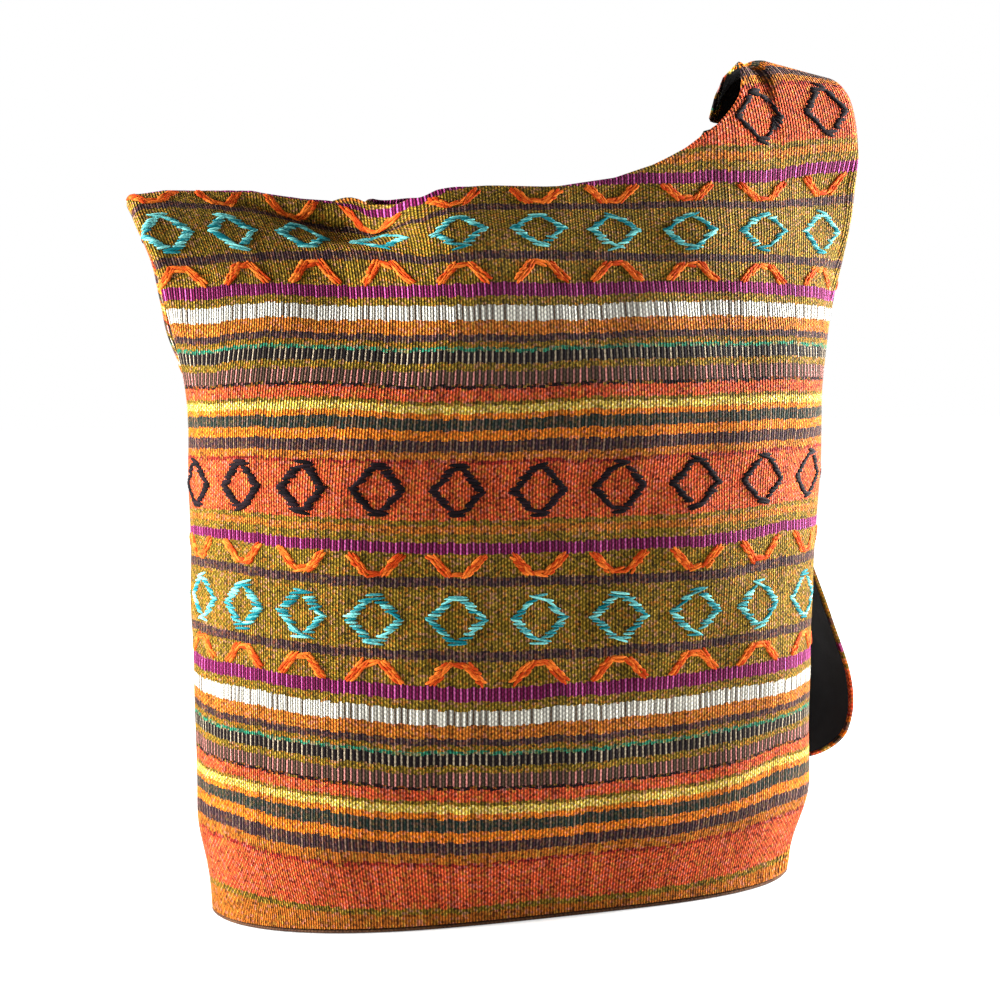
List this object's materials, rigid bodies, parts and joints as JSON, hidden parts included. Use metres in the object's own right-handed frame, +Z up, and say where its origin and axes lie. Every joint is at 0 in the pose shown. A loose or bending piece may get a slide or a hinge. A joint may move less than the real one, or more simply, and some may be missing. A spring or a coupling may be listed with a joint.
{
  "type": "shoulder bag",
  "caption": "Handloom striped cotton shoulder bag on an oval base, with an open mouth and one wide strap hanging behind.",
  "frame": {"origin": "middle of the object's footprint, on the surface it stands on", "axes": "+Z up, front towards -Y, the strap's high root on +X"},
  "size_m": [0.4379, 0.274, 0.468],
  "materials": {
    "striped_cotton": "handwoven, ribbed, matt",
    "black_cotton": "plain woven, matt",
    "base_cotton": "handwoven, matt"
  },
  "bodies": {
    "root": {"body_cloth": "striped_cotton", "strap_cloth": "striped_cotton", "base_cloth": "base_cotton", "body_lining": "black_cotton", "strap_lining": "black_cotton", "base_lining": "black_cotton"}
  },
  "joints": []
}
